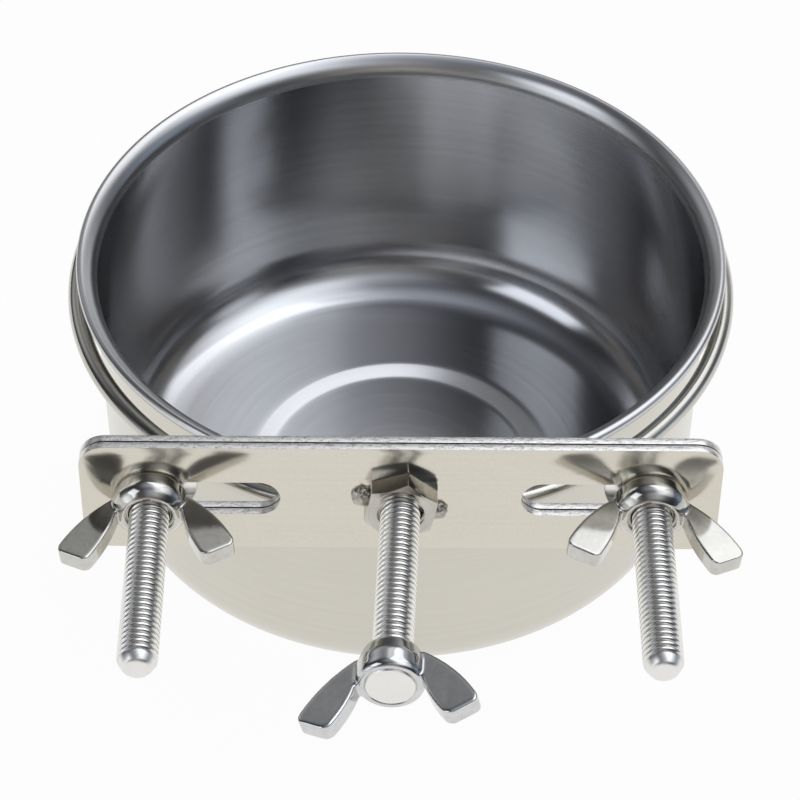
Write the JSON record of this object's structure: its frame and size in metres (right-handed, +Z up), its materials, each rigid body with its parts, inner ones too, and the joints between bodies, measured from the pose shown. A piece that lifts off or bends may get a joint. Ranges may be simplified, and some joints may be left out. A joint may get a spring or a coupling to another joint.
{
  "type": "clamp-on seed cup",
  "caption": "Round steel feeding cup with a rolled rim, held in a wire ring on a slotted clamp with wing nuts and a lock screw that pins the cup.",
  "frame": {"origin": "middle of the rear plate's gripping face, where the cage wires lie between the two plates, at the height of the bolts", "axes": "+X along the plates, +Y from the plates back to the cup, +Z up"},
  "size_m": [0.1082, 0.1548, 0.062],
  "materials": {
    "cup_steel": "satin inside with fine spun lines, polished outside",
    "wire_steel": "polished wire",
    "weld_metal": "as welded, slightly dull",
    "plate_steel": "bright rolled sheet with fine grain",
    "nut_steel": "bright turned",
    "thread_steel": "bright rolled thread",
    "wing_steel": "bright plated casting"
  },
  "bodies": {
    "holder": {"rear_plate": "plate_steel", "wire_ring": "wire_steel", "ring_weld_beads": "weld_metal"},
    "cup": {"cup": "cup_steel"},
    "jaw": {"front_plate": "plate_steel", "lock_nut": "nut_steel", "nut_weld_tacks": "weld_metal"},
    "left_bolt": {"left_bolt": "thread_steel"},
    "right_bolt": {"right_bolt": "thread_steel"},
    "left_wing_nut": {"left_wing_nut": "wing_steel"},
    "right_wing_nut": {"right_wing_nut": "wing_steel"},
    "lock_stud": {"lock_stud": "thread_steel"},
    "lock_wing": {"lock_wing": "wing_steel"}
  },
  "joints": [
    {"name": "cup_lift", "type": "slide", "parent": "holder", "child": "cup", "axis": [0, 0, 1], "range_m": [0, 0.065]},
    {"name": "jaw_open", "type": "slide", "parent": "holder", "child": "jaw", "axis": [0, -1, 0], "range_m": [0, 0.024]},
    {"name": "left_bolt_shift", "type": "slide", "parent": "holder", "child": "left_bolt", "axis": [1, 0, 0], "range_m": [0, 0.0136]},
    {"name": "right_bolt_shift", "type": "slide", "parent": "holder", "child": "right_bolt", "axis": [-1, 0, 0], "range_m": [0, 0.0136]},
    {"name": "left_nut_run", "type": "slide", "parent": "left_bolt", "child": "left_wing_nut", "axis": [0, -1, 0], "range_m": [0, 0.0241]},
    {"name": "right_nut_run", "type": "slide", "parent": "right_bolt", "child": "right_wing_nut", "axis": [0, -1, 0], "range_m": [0, 0.0241]},
    {"name": "lock_travel", "type": "slide", "parent": "jaw", "child": "lock_stud", "axis": [-0.04, -0.9992, 0], "range_m": [0, 0.0101]},
    {"name": "lock_turn", "type": "hinge", "parent": "lock_stud", "child": "lock_wing", "pos_m": [-0.00128, -0.035, 0], "axis": [-0.04, -0.9992, 0], "range_deg": [0, 3600]}
  ],
  "couplings": [
    {"joint": "left_nut_run", "follows": "jaw_open", "ratio": 1},
    {"joint": "right_nut_run", "follows": "jaw_open", "ratio": 1},
    {"joint": "lock_travel", "follows": "lock_turn", "m_per_rad": 0.00015915}
  ]
}
